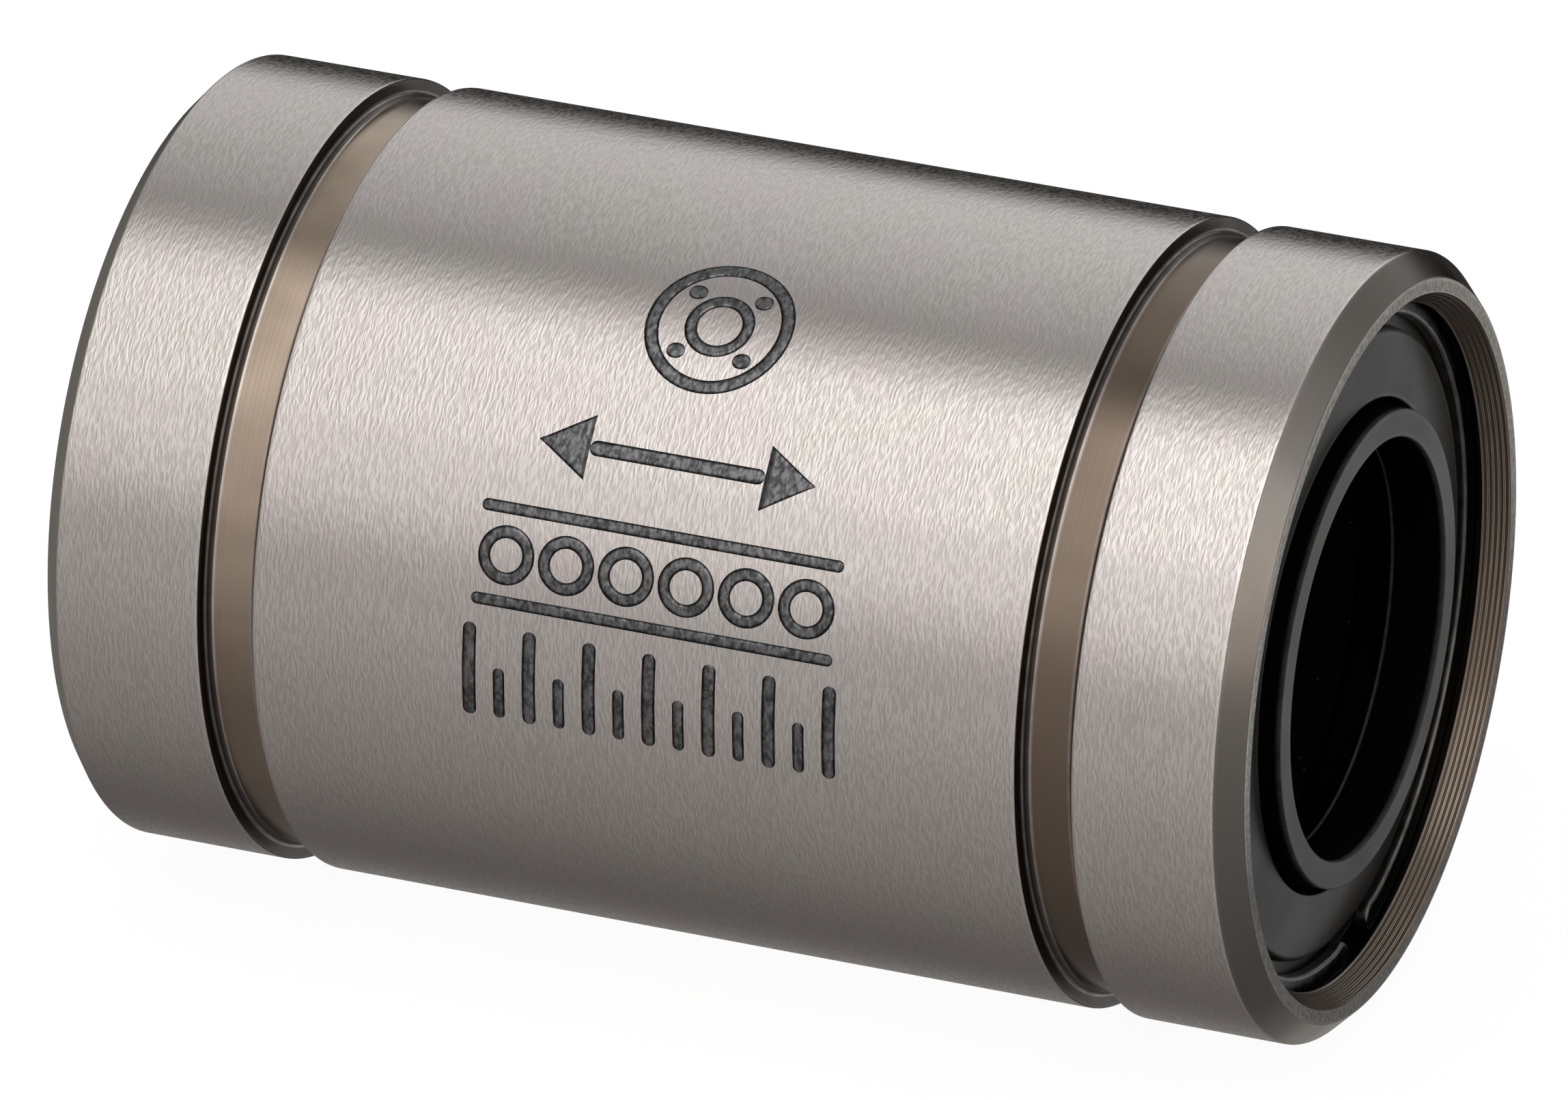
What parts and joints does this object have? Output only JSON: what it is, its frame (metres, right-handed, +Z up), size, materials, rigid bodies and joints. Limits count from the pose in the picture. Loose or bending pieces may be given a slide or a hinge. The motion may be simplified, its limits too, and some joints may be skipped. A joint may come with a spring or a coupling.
{
  "type": "linear ball bushing",
  "caption": "Closed linear ball bushing: a ground steel sleeve with two retaining-ring grooves, end seals and endless circuits of small balls for a round shaft.",
  "frame": {"origin": "middle of the bushing on the shaft's axis", "axes": "+X along the shaft's axis, towards the front end; +Z up; +Y to the side, so that X, Y, Z are right-handed"},
  "size_m": [0.024, 0.015, 0.015],
  "materials": {
    "ground_steel": "ground bearing steel with short grinding marks around it",
    "retainer_resin": "black moulded resin, satin",
    "end_ring_resin": "black moulded resin, satin",
    "seal_rubber": "black nitrile rubber, smooth",
    "spring_steel": "blackened spring steel, oiled",
    "ball_steel": "polished bearing balls"
  },
  "bodies": {
    "bushing": {"outer_sleeve": "ground_steel", "ball_retainer": "retainer_resin", "front_end_ring": "end_ring_resin", "rear_end_ring": "end_ring_resin", "front_lip_seal": "seal_rubber", "rear_lip_seal": "seal_rubber", "front_snap_ring": "spring_steel", "rear_snap_ring": "spring_steel"},
    "circuit_1_load_balls": {"circuit_1_load_balls": "ball_steel"},
    "circuit_1_front_turn_balls": {"circuit_1_front_turn_balls": "ball_steel"},
    "circuit_1_return_balls": {"circuit_1_return_balls": "ball_steel"},
    "circuit_1_rear_turn_balls": {"circuit_1_rear_turn_balls": "ball_steel"},
    "circuit_2_load_balls": {"circuit_2_load_balls": "ball_steel"},
    "circuit_2_front_turn_balls": {"circuit_2_front_turn_balls": "ball_steel"},
    "circuit_2_return_balls": {"circuit_2_return_balls": "ball_steel"},
    "circuit_2_rear_turn_balls": {"circuit_2_rear_turn_balls": "ball_steel"},
    "circuit_3_load_balls": {"circuit_3_load_balls": "ball_steel"},
    "circuit_3_front_turn_balls": {"circuit_3_front_turn_balls": "ball_steel"},
    "circuit_3_return_balls": {"circuit_3_return_balls": "ball_steel"},
    "circuit_3_rear_turn_balls": {"circuit_3_rear_turn_balls": "ball_steel"},
    "circuit_4_load_balls": {"circuit_4_load_balls": "ball_steel"},
    "circuit_4_front_turn_balls": {"circuit_4_front_turn_balls": "ball_steel"},
    "circuit_4_return_balls": {"circuit_4_return_balls": "ball_steel"},
    "circuit_4_rear_turn_balls": {"circuit_4_rear_turn_balls": "ball_steel"}
  },
  "joints": [
    {"name": "circuit_1_load_run", "type": "slide", "parent": "bushing", "child": "circuit_1_load_balls", "axis": [1, 0, 0], "range_m": [0, 0.00181]},
    {"name": "circuit_1_return_run", "type": "slide", "parent": "bushing", "child": "circuit_1_return_balls", "axis": [1, 0, 0], "range_m": [-0.00181, 0]},
    {"name": "circuit_1_front_turn", "type": "hinge", "parent": "bushing", "child": "circuit_1_front_turn_balls", "pos_m": [0.00632, -0.00258, 0.0042], "axis": [0, -0.7071, 0.7071], "range_deg": [0, 90]},
    {"name": "circuit_1_rear_turn", "type": "hinge", "parent": "bushing", "child": "circuit_1_rear_turn_balls", "pos_m": [-0.00632, -0.00258, 0.0042], "axis": [0, -0.7071, 0.7071], "range_deg": [0, 90]},
    {"name": "circuit_2_load_run", "type": "slide", "parent": "bushing", "child": "circuit_2_load_balls", "axis": [1, 0, 0], "range_m": [0, 0.00181]},
    {"name": "circuit_2_return_run", "type": "slide", "parent": "bushing", "child": "circuit_2_return_balls", "axis": [1, 0, 0], "range_m": [-0.00181, 0]},
    {"name": "circuit_2_front_turn", "type": "hinge", "parent": "bushing", "child": "circuit_2_front_turn_balls", "pos_m": [0.00632, -0.0042, -0.00258], "axis": [0, -0.7071, -0.7071], "range_deg": [0, 90]},
    {"name": "circuit_2_rear_turn", "type": "hinge", "parent": "bushing", "child": "circuit_2_rear_turn_balls", "pos_m": [-0.00632, -0.0042, -0.00258], "axis": [0, -0.7071, -0.7071], "range_deg": [0, 90]},
    {"name": "circuit_3_load_run", "type": "slide", "parent": "bushing", "child": "circuit_3_load_balls", "axis": [1, 0, 0], "range_m": [0, 0.00181]},
    {"name": "circuit_3_return_run", "type": "slide", "parent": "bushing", "child": "circuit_3_return_balls", "axis": [1, 0, 0], "range_m": [-0.00181, 0]},
    {"name": "circuit_3_front_turn", "type": "hinge", "parent": "bushing", "child": "circuit_3_front_turn_balls", "pos_m": [0.00632, 0.00258, -0.0042], "axis": [0, 0.7071, -0.7071], "range_deg": [0, 90]},
    {"name": "circuit_3_rear_turn", "type": "hinge", "parent": "bushing", "child": "circuit_3_rear_turn_balls", "pos_m": [-0.00632, 0.00258, -0.0042], "axis": [0, 0.7071, -0.7071], "range_deg": [0, 90]},
    {"name": "circuit_4_load_run", "type": "slide", "parent": "bushing", "child": "circuit_4_load_balls", "axis": [1, 0, 0], "range_m": [0, 0.00181]},
    {"name": "circuit_4_return_run", "type": "slide", "parent": "bushing", "child": "circuit_4_return_balls", "axis": [1, 0, 0], "range_m": [-0.00181, 0]},
    {"name": "circuit_4_front_turn", "type": "hinge", "parent": "bushing", "child": "circuit_4_front_turn_balls", "pos_m": [0.00632, 0.0042, 0.00258], "axis": [0, 0.7071, 0.7071], "range_deg": [0, 90]},
    {"name": "circuit_4_rear_turn", "type": "hinge", "parent": "bushing", "child": "circuit_4_rear_turn_balls", "pos_m": [-0.00632, 0.0042, 0.00258], "axis": [0, 0.7071, 0.7071], "range_deg": [0, 90]}
  ],
  "couplings": [
    {"joint": "circuit_1_front_turn", "follows": "circuit_1_load_run", "rad_per_m": 869.57},
    {"joint": "circuit_1_rear_turn", "follows": "circuit_1_load_run", "rad_per_m": 869.57},
    {"joint": "circuit_1_return_run", "follows": "circuit_1_load_run", "ratio": -1},
    {"joint": "circuit_2_front_turn", "follows": "circuit_2_load_run", "rad_per_m": 869.57},
    {"joint": "circuit_2_rear_turn", "follows": "circuit_2_load_run", "rad_per_m": 869.57},
    {"joint": "circuit_2_return_run", "follows": "circuit_2_load_run", "ratio": -1},
    {"joint": "circuit_3_front_turn", "follows": "circuit_3_load_run", "rad_per_m": 869.57},
    {"joint": "circuit_3_rear_turn", "follows": "circuit_3_load_run", "rad_per_m": 869.57},
    {"joint": "circuit_3_return_run", "follows": "circuit_3_load_run", "ratio": -1},
    {"joint": "circuit_4_front_turn", "follows": "circuit_4_load_run", "rad_per_m": 869.57},
    {"joint": "circuit_4_rear_turn", "follows": "circuit_4_load_run", "rad_per_m": 869.57},
    {"joint": "circuit_4_return_run", "follows": "circuit_4_load_run", "ratio": -1}
  ]
}
